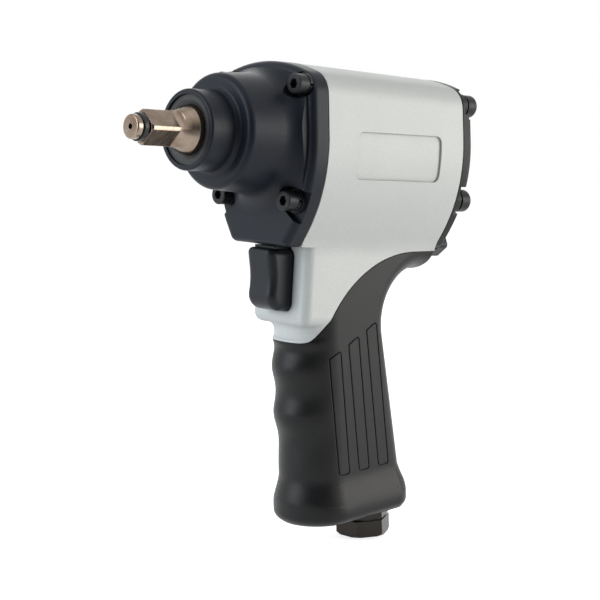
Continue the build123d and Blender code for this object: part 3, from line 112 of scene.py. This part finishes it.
# Painted shade in corners and gaps: its reach, the openness over which it fades, and its share and tone
PAINTED_SHADE_REACH = 0.0022
PAINTED_SHADE_SPAN = (0.5, 0.95)
PAINTED_SHADE_SHARE = 0.4
PAINTED_SHADE_TONE = 0.3
PAINTED_SHADE_SAMPLES = 8

# Coats: broad mottling, bright flakes finer than the grain, and rubbed patches along the edges
MOTTLE_SCALE = 38.0
FLAKE_FINER = 1.9
FLAKE_SPAN = (0.56, 0.72)
FLAKE_GAIN = 1.45
RUB_SCALE = 420.0
RUB_SPAN = (0.42, 0.62)
RUB_COLOUR, RUB_GLOSS = 0.55, 0.12
COATS = {
    "silver_paint": dict(colour=(0.68, 0.70, 0.68), rough=0.5, grain=1500.0, depth=0.00003, mottle=0.02,
                         speckle=0.3, metallic=0.08, edge=(0.80, 0.81, 0.80), level=0.25),
    "case_black": dict(colour=(0.0098, 0.0130, 0.0200), rough=0.42, grain=1700.0, depth=0.00003, mottle=0.12,
                       speckle=0.1, edge=(0.04, 0.044, 0.052), level=0.2),
    "cover_black": dict(colour=(0.0125, 0.0124, 0.0120), rough=0.45, grain=1700.0, depth=0.00003, mottle=0.12,
                        speckle=0.1, edge=(0.055, 0.053, 0.05), level=0.24),
    "grip_rubber": dict(colour=(0.0070, 0.0070, 0.0073), rough=0.4, grain=2100.0, depth=0.000035, mottle=0.1,
                        edge=(0.024, 0.024, 0.024), soften=0.0005, level=0.25),
    "trigger_black": dict(colour=(0.0086, 0.0106, 0.0145), rough=0.38, grain=2300.0, depth=0.000018,
                          mottle=0.08, edge=(0.035, 0.037, 0.041), soften=0.0005, level=0.26),
    "black_screw": dict(colour=(0.021, 0.0215, 0.023), rough=0.4, grain=1500.0, depth=0.00002, mottle=0.16,
                        metallic=0.45, edge=(0.15, 0.147, 0.143), edge_radius=0.0003, level=0.3),
    "black_ring": dict(colour=(0.018, 0.018, 0.019), rough=0.36, grain=1500.0, depth=0.00001, mottle=0.1,
                       metallic=0.4, edge=(0.16, 0.155, 0.15), edge_radius=0.0002),
    "seal_rubber": dict(colour=(0.020, 0.020, 0.021), rough=0.55, grain=1900.0, depth=0.00002, mottle=0.1),
}

# Metals: tool lines round the drive axis, stains, and painted highlights along the edges
LINE_SCALE = 2600.0
LINE_STRETCH = (0.12, 1.0, 0.12)
STAIN_SCALE = 130.0
STAIN_SPAN = (0.35, 0.68)
STAIN_SHADE = 0.82
EDGE_HIGHLIGHT_RADIUS = 0.0003
EDGE_HIGHLIGHT_SHARE = 0.6
METAL_SOFTEN = 0.00025
METALS = {
    "nickel_steel": dict(colour=(0.31, 0.25, 0.20), rough=0.2, tint=(0.24, 0.175, 0.13), depth=0.000003),
    "steel": dict(colour=(0.50, 0.50, 0.50), rough=0.28, tint=(0.42, 0.41, 0.39)),
    "gunmetal": dict(colour=(0.036, 0.0345, 0.032), rough=0.3, tint=(0.042, 0.033, 0.028), highlight_gain=2.6),
    "bronze": dict(colour=(0.52, 0.35, 0.18), rough=0.35, tint=(0.44, 0.26, 0.13)),
    "plate_aluminium": dict(colour=(0.66, 0.67, 0.68), rough=0.36, tint=(0.6, 0.6, 0.6)),
    "brass_fine": dict(colour=(0.60, 0.46, 0.2), rough=0.32, tint=(0.5, 0.35, 0.14)),
}

# Fibres: strands that lie along the drive axis, in two tones
STRAND_STRETCH = (1.0, 0.35, 1.0)
STRAND_SPAN = (0.36, 0.64)
STRAND_GLOSS = 0.05
STRAND_SHEEN = 0.2
FIBRES = {
    "vane_composite": dict(colour=(0.10, 0.055, 0.025), second=(0.16, 0.09, 0.04), rough=0.5,
                           grain=900.0, depth=0.00002),
    "gasket_sheet": dict(colour=(0.03, 0.032, 0.034), second=(0.055, 0.056, 0.056), rough=0.75,
                         grain=1200.0, depth=0.00003),
    "felt": dict(colour=(0.30, 0.29, 0.27), second=(0.42, 0.41, 0.39), rough=0.9,
                 grain=1500.0, depth=0.00012),
}

# Thread in the air inlet, with its flanks as shares of the pitch
THREAD_PITCH = 0.001337
THREAD_HEIGHT = 0.00026
THREAD_STEPS = 48
THREAD_EMBED = 0.00008
THREAD_CLEAR = 0.0009
THREAD_ROOT, THREAD_CREST = 0.46, 0.08
THREAD_LEAST = 0.05

# Swell of the grip's foot, as heights over the grip's lower end: where it is full on the sides and on the
# rounded front and back, and where it begins
SWELL_FULL_SIDE = 0.0042
SWELL_FULL_ROUND = 0.0075
SWELL_BEGIN = 0.0176
SWELL_CUTS = 60

# Facing from which a point is on a flat side, distance under which two points are one, and angle of a crease
FLAT_SIDE = 0.995
SAME_POINT = 1e-6
SHARP_EDGE = math.radians(30.0)


def toward_camera():
    az, el = math.radians(CAMERA_AZIMUTH), math.radians(CAMERA_ELEVATION)
    return Vector((math.sin(az) * math.cos(el), -math.cos(az) * math.cos(el), math.sin(el)))


def rgba(colour, gain=1.0):
    return tuple(c * gain for c in colour) + (1.0,)


def new_object(name, data):
    made = bpy.data.objects.new(name, data)
    bpy.context.scene.collection.objects.link(made)
    return made


def mesh_object(name, built, material):
    data = bpy.data.meshes.new(name)
    built.to_mesh(data)
    built.free()
    data.materials.append(material)
    return new_object(name, data)


class Nodes:
    """A node tree that is built step by step."""

    def __init__(self, tree):
        self.tree = tree
        tree.nodes.clear()

    def node(self, kind, **settings):
        made = self.tree.nodes.new(kind)
        for key, value in settings.items():
            setattr(made, key, value)
        return made

    def feed(self, socket, value):
        if isinstance(value, bpy.types.NodeSocket):
            self.tree.links.new(value, socket)
        else:
            socket.default_value = value

    def math(self, operation, first, second):
        made = self.node("ShaderNodeMath", operation=operation)
        self.feed(made.inputs[0], first)
        self.feed(made.inputs[1], second)
        return made.outputs["Value"]

    def dot(self, first, second):
        made = self.node("ShaderNodeVectorMath", operation="DOT_PRODUCT")
        self.feed(made.inputs[0], first)
        self.feed(made.inputs[1], second)
        return made.outputs["Value"]

    def band(self, value, span, low=0.0, high=1.0, shape="LINEAR"):
        """The value's span, stretched to the range from low to high."""
        made = self.node("ShaderNodeMapRange", interpolation_type=shape)
        for name, end in zip(("From Min", "From Max", "To Min", "To Max"), (*span, low, high)):
            made.inputs[name].default_value = end
        self.feed(made.inputs["Value"], value)
        return made.outputs["Result"]

    def sight(self):
        """Two values: one where the backdrop is seen straight or through clear pieces, one in reflections."""
        path = self.node("ShaderNodeLightPath").outputs
        direct = self.math("MAXIMUM", path["Is Camera Ray"], path["Is Transmission Ray"])
        return direct, path["Is Glossy Ray"]

    def unlit_side(self, way, span):
        """One all round, and dark where the way leads to the unlit side of the studio."""
        return self.band(self.dot(way, toward_camera()), span, 1.0, DARK_SIDE, shape="SMOOTHSTEP")


class Finish(Nodes):
    """A material with its own surface coordinates."""

    def __init__(self, name):
        self.material = bpy.data.materials.new(name)
        self.material.use_nodes = True
        super().__init__(self.material.node_tree)
        self.shader = self.node("ShaderNodeBsdfPrincipled")
        out = self.node("ShaderNodeOutputMaterial")
        self.feed(out.inputs["Surface"], self.shader.outputs["BSDF"])
        self.place = self.node("ShaderNodeTexCoord").outputs["Object"]
        self.true_normal = self.node("ShaderNodeNewGeometry").outputs["Normal"]

    def noise(self, scale, detail=2.0, rough=0.5, stretch=None):
        made = self.node("ShaderNodeTexNoise")
        made.inputs["Scale"].default_value = scale
        made.inputs["Detail"].default_value = detail
        made.inputs["Roughness"].default_value = rough
        place = self.place
        if stretch:
            mapping = self.node("ShaderNodeMapping")
            mapping.inputs["Scale"].default_value = stretch
            self.feed(mapping.inputs["Vector"], place)
            place = mapping.outputs["Vector"]
        self.feed(made.inputs["Vector"], place)
        return made.outputs["Fac"]

    def mix(self, amount, first, second):
        made = self.node("ShaderNodeMix", data_type="RGBA")
        ends = {socket.identifier: socket for socket in made.inputs}
        self.feed(ends["Factor_Float"], amount)
        self.feed(ends["A_Color"], first)
        self.feed(ends["B_Color"], second)
        return next(s for s in made.outputs if s.identifier == "Result_Color")

    def rounded(self, radius):
        """The surface's normal with its edges rounded."""
        bevel = self.node("ShaderNodeBevel", samples=BEVEL_SAMPLES)
        bevel.inputs["Radius"].default_value = radius
        return bevel.outputs["Normal"]

    def edges(self, radius):
        """White along the edges of the piece, over about the radius, and black on its open faces."""
        flat = self.dot(self.rounded(radius), self.true_normal)
        return self.band(self.math("SUBTRACT", 1.0, flat), EDGE_SPAN)

    def paint_hollow_shade(self, base, colour):
        """The base, with painted shade in a darker tone of the colour in corners and gaps."""
        nearby = self.node("ShaderNodeAmbientOcclusion", samples=PAINTED_SHADE_SAMPLES)
        nearby.inputs["Distance"].default_value = PAINTED_SHADE_REACH
        # Painted shade: strongest where nearby walls hem the surface in
        hollow_shade_mask = self.band(nearby.outputs["AO"], PAINTED_SHADE_SPAN, PAINTED_SHADE_SHARE, 0.0)
        return self.mix(hollow_shade_mask, base, rgba(colour, PAINTED_SHADE_TONE))

    def bump(self, height, distance, normal=None):
        made = self.node("ShaderNodeBump")
        made.inputs["Strength"].default_value = 1.0
        made.inputs["Distance"].default_value = distance
        self.feed(made.inputs["Height"], height)
        if normal is not None:
            self.feed(made.inputs["Normal"], normal)
        return made.outputs["Normal"]

    def set(self, **values):
        for key, value in values.items():
            self.feed(self.shader.inputs[key.replace("_", " ")], value)


def coated(name, colour, rough, grain, depth, mottle, speckle=0.0, metallic=0.0,
           edge=None, edge_radius=0.0004, soften=0.0003, level=0.5):
    """Paint, plastic or rubber: mottled colour, a fine grain in colour and relief, and rubbed edges."""
    look = Finish(name)
    cloud = look.band(look.noise(MOTTLE_SCALE, detail=3.0), MIDDLE_SPAN)
    fine = look.noise(grain, rough=0.6)
    base = look.mix(cloud, rgba(colour, 1.0 - mottle), rgba(colour, 1.0 + mottle))
    if speckle:
        flake = look.band(look.noise(grain * FLAKE_FINER, detail=1.0), FLAKE_SPAN, 0.0, speckle)
        base = look.mix(flake, base, rgba(colour, FLAKE_GAIN))
    gloss = look.band(fine, MIDDLE_SPAN, rough - GLOSS_UNDER, rough + GLOSS_OVER)
    if edge:
        rub = look.math("MULTIPLY", look.edges(edge_radius), look.band(look.noise(RUB_SCALE), RUB_SPAN))
        base = look.mix(look.math("MULTIPLY", rub, RUB_COLOUR), base, rgba(edge))
        gloss = look.math("SUBTRACT", gloss, look.math("MULTIPLY", rub, RUB_GLOSS))
    # Painted shade: the colour darker in corners and gaps
    base = look.paint_hollow_shade(base, colour)
    normal = look.bump(fine, depth, look.rounded(soften))
    look.set(Base_Color=base, Roughness=gloss, Normal=normal, Metallic=metallic, Specular_IOR_Level=level)
    return look.material


def machined(name, colour, rough, tint, depth=0.000012, highlight_gain=1.35):
    """Bare or plated metal: fine tool lines round the drive axis, stains, and painted highlights along the
    edges.
    """
    look = Finish(name)
    lines = look.noise(LINE_SCALE, stretch=LINE_STRETCH)
    stain = look.band(look.noise(STAIN_SCALE, detail=4.0, rough=0.6), STAIN_SPAN)
    base = look.mix(stain, rgba(colour), rgba(tint, STAIN_SHADE))
    # Painted highlight: the colour brightened along every edge of the piece
    painted_edge_highlight = look.math("MULTIPLY", look.edges(EDGE_HIGHLIGHT_RADIUS), EDGE_HIGHLIGHT_SHARE)
    base = look.mix(painted_edge_highlight, base, rgba([min(1.0, c * highlight_gain) for c in colour]))
    # Painted shade: the colour darker in corners and gaps
    base = look.paint_hollow_shade(base, colour)
    gloss = look.band(lines, MIDDLE_SPAN, rough - GLOSS_UNDER, rough + GLOSS_OVER)
    normal = look.bump(lines, depth, look.rounded(METAL_SOFTEN))
    look.set(Base_Color=base, Roughness=gloss, Normal=normal, Metallic=1.0)
    return look.material


def fibre(name, colour, second, rough, grain, depth):
    """Felt, gasket sheet or laminate: matted strands in two tones."""
    look = Finish(name)
    strand = look.noise(grain, detail=5.0, rough=0.7, stretch=STRAND_STRETCH)
    base = look.mix(look.band(strand, STRAND_SPAN), rgba(colour), rgba(second))
    gloss = look.band(strand, MIDDLE_SPAN, rough - STRAND_GLOSS, rough + STRAND_GLOSS)
    look.set(Base_Color=base, Roughness=gloss, Normal=look.bump(strand, depth), Sheen_Weight=STRAND_SHEEN)
    return look.material


FINISHES = {slot: coated(slot, **look) for slot, look in COATS.items()}
FINISHES.update({slot: machined(slot, **look) for slot, look in METALS.items()})
FINISHES.update({slot: fibre(slot, **look) for slot, look in FIBRES.items()})


def dress_nodes():
    """Gives every solid its finish, by the slot that the record names for it."""
    for part in frame["record"]["subparts"]:
        node = NODES[part["node"]]
        node.data.materials.clear()
        node.data.materials.append(FINISHES[part["material_slot"]])


def air_inlet():
    """The inlet's bore as the record states it: its middle, the way it faces, its radius and its length."""
    mount = next(m for m in frame["record"]["mounts"] if m["name"] == "air_inlet")
    radius, length = (mount["dims"][size] / MM_PER_METRE for size in ("r_mm", "length_mm"))
    return Vector(mount["pos_m"]), Vector(mount["axis"]).normalized(), radius, length


def inlet_thread():
    """A helical ridge inside the inlet's bore."""
    centre, axis, radius, length = air_inlet()
    half = length / 2.0 - THREAD_CLEAR
    side = axis.orthogonal().normalized()
    other = axis.cross(side)
    last = (int(2.0 * half / THREAD_PITCH) - 1) * THREAD_STEPS
    root = radius + THREAD_EMBED
    built = bmesh.new()
    rings = []
    for step in range(last + 1):
        angle = 2.0 * math.pi * step / THREAD_STEPS
        out = side * math.cos(angle) + other * math.sin(angle)
        along = -half + THREAD_PITCH * (0.5 + step / THREAD_STEPS)
        fade = min(1.0, step / THREAD_STEPS, (last - step) / THREAD_STEPS)
        crest = radius - THREAD_HEIGHT * max(fade, THREAD_LEAST)
        outline = ((-THREAD_ROOT, root), (-THREAD_CREST, crest), (THREAD_CREST, crest), (THREAD_ROOT, root))
        rings.append([built.verts.new(centre + axis * (along + shift * THREAD_PITCH) + out * reach)
                      for shift, reach in outline])
    corners = len(rings[0])
    for here, ahead in zip(rings, rings[1:]):
        for k in range(corners):
            after = (k + 1) % corners
            built.faces.new((here[k], ahead[k], ahead[after], here[after]))
    built.faces.new(rings[0])
    built.faces.new(list(reversed(rings[-1])))
    bmesh.ops.recalc_face_normals(built, faces=built.faces)
    thread = mesh_object("inlet_thread", built, FINISHES["gunmetal"])
    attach(thread, "housing")


def throttle_spring():
    """The spring under the throttle valve: its foot is on the housing, its head on the valve that tips."""
    node = NODES["valve_spring"]
    spring = new_object("throttle_spring", node.data.copy())
    spring.matrix_world = node.matrix_world
    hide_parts("valve_spring")
    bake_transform(spring)


def sliced_sleeve(up, levels):
    """The CAD sleeve's mesh, cut across at each level, with every point's height over its lower end."""
    built = bmesh.new()
    built.from_mesh(NODES["grip_sleeve"].data)
    bmesh.ops.remove_doubles(built, verts=built.verts, dist=SAME_POINT)
    sole = min(v.co.dot(up) for v in built.verts)
    for level in levels:
        everything = [*built.verts, *built.edges, *built.faces]
        place = up * (sole + level)
        bmesh.ops.bisect_plane(built, geom=everything, dist=SAME_POINT, plane_co=place, plane_no=up)
    built.normal_update()
    return built, {v: v.co.dot(up) - sole for v in built.verts}


def swell_points(heights, centre, up):
    """The points on the outside of the swell, each with the way it faces, square to the handle."""
    outward = {}
    for vert, height in heights.items():
        out = vert.normal - up * vert.normal.dot(up)
        in_swell = SWELL_FULL_SIDE - SAME_POINT < height < SWELL_BEGIN + SAME_POINT
        if in_swell and out.dot(vert.co - centre) > 0.0:
            outward[vert] = out.normalized()
    return outward


def swell_share(height, end):
    """Share of the swell at a height: a smooth step from none where it begins to one where it ends."""
    share = min(max((SWELL_BEGIN - height) / (SWELL_BEGIN - end), 0.0), 1.0)
    return share * share * (3.0 - 2.0 * share)


def shade_smooth(data):
    """Smooth shading that follows the mesh as it is now, with creases at its sharp edges."""
    imported = data.attributes.get("custom_normal")
    if imported is not None:
        data.attributes.remove(imported)
    data.shade_smooth()
    data.set_sharp_from_angle(angle=SHARP_EDGE)


def grip_cover():
    """The grip's sleeve, with a foot that swells out of the handle in one soft curve."""
    centre, down, _, _ = air_inlet()
    levels = np.linspace(SWELL_FULL_SIDE, SWELL_BEGIN, SWELL_CUTS + 1)
    built, heights = sliced_sleeve(-down, levels)
    outward = swell_points(heights, centre, -down)
    flat = [v for v, out in outward.items() if out.x > FLAT_SIDE]
    widths = [np.median([v.co.x for v in flat if abs(heights[v] - level) < SAME_POINT]) for level in levels]
    narrow = widths[-1]
    full = widths[0] - narrow
    for vert, out in outward.items():
        height = heights[vert]
        end = SWELL_FULL_ROUND + (SWELL_FULL_SIDE - SWELL_FULL_ROUND) * out.x ** 2
        now = np.interp(height, levels, widths) - narrow
        vert.co += out * (full * swell_share(height, end) - now)
        limit = narrow + full * swell_share(height, SWELL_FULL_SIDE)
        vert.co.x = min(max(vert.co.x, -limit), limit)
    between = [v for v in outward if np.abs(levels - heights[v]).min() > SAME_POINT]
    bmesh.ops.smooth_vert(built, verts=between, factor=1.0, use_axis_x=True, use_axis_y=True, use_axis_z=True)
    cover = mesh_object("grip_cover", built, FINISHES["grip_rubber"])
    shade_smooth(cover.data)
    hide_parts("grip_sleeve")
    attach(cover, "housing")


def floor_paper():
    """Pale paper that is white to the camera and keeps the object's shadow."""
    look = Finish("floor_paper")
    tone = look.band(look.noise(PAPER_SCALE, detail=4.0), MIDDLE_SPAN)
    paper = look.mix(tone, rgba(FLOOR_COLOUR, PAPER_SHADE), rgba(FLOOR_COLOUR))
    direct, mirrored = look.sight()
    unlit = look.unlit_side(look.place, (DARK_NEAR, DARK_FAR))
    seen = look.math("MAXIMUM", direct, look.math("MULTIPLY", mirrored, unlit))
    look.set(Base_Color=paper, Roughness=FLOOR_ROUGHNESS, Emission_Color=rgba(WHITE),
             Emission_Strength=look.math("MULTIPLY", seen, FLOOR_GLOW))
    return look.material


def make_floor():
    z = cad_low.z - FLOOR_DROP
    built = bmesh.new()
    corners = [built.verts.new((x * FLOOR_HALF, y * FLOOR_HALF, z))
               for x, y in ((-1, -1), (1, -1), (1, 1), (-1, 1))]
    built.faces.new(corners)
    floor = mesh_object("floor", built, floor_paper())


def make_world():
    """A soft room light, with a white backdrop for the camera and for reflections."""
    world = bpy.data.worlds.new("studio")
    world.use_nodes = True
    bpy.context.scene.world = world
    studio = Nodes(world.node_tree)
    room = studio.node("ShaderNodeBackground")
    white = studio.node("ShaderNodeBackground")
    mix = studio.node("ShaderNodeMixShader")
    out = studio.node("ShaderNodeOutputWorld")
    direct, mirrored = studio.sight()
    way = studio.node("ShaderNodeTexCoord").outputs["Generated"]
    unlit = studio.unlit_side(way, (math.cos(DARK_OUTER), math.cos(DARK_INNER)))
    studio.feed(room.inputs["Color"], rgba(AMBIENT_COLOUR))
    studio.feed(room.inputs["Strength"], AMBIENT)
    studio.feed(white.inputs["Color"], rgba(WHITE))
    studio.feed(white.inputs["Strength"], studio.math("MAXIMUM", direct, unlit))
    studio.feed(mix.inputs["Fac"], studio.math("MAXIMUM", direct, mirrored))
    studio.feed(mix.inputs[1], room.outputs["Background"])
    studio.feed(mix.inputs[2], white.outputs["Background"])
    studio.feed(out.inputs["Surface"], mix.outputs["Shader"])


def place_lights():
    for name, (place, size, power, colour) in SOFT_BOXES.items():
        data = bpy.data.lights.new(name, "AREA")
        data.shape = "RECTANGLE"
        data.size, data.size_y = size
        data.energy = power
        data.color = colour
        lamp = new_object(name, data)
        lamp.location = place
        aim = Vector(LIGHT_AIM) - Vector(place)
        lamp.rotation_euler = aim.to_track_quat("-Z", "Y").to_euler()


def place_camera():
    az, roll = math.radians(CAMERA_AZIMUTH), math.radians(CAMERA_ROLL)
    back = toward_camera()
    right = Vector((math.cos(az), math.sin(az), 0.0))
    up = back.cross(right)
    across = right * math.cos(roll) + up * math.sin(roll)
    upward = up * math.cos(roll) - right * math.sin(roll)
    turn = Matrix((across, upward, back)).transposed().to_4x4()
    data = bpy.data.cameras.new("camera")
    data.lens = CAMERA_LENS
    data.sensor_width = SENSOR_WIDTH
    data.clip_start, data.clip_end = CLIP_NEAR, CLIP_FAR
    camera = new_object("camera", data)
    camera.matrix_world = Matrix.Translation(Vector(CAMERA_TARGET) + back * CAMERA_DISTANCE) @ turn
    bpy.context.scene.camera = camera


bpy.context.scene.view_settings.view_transform = "Standard"
dress_nodes()
inlet_thread()
throttle_spring()
grip_cover()
make_floor()
make_world()
place_lights()
place_camera()
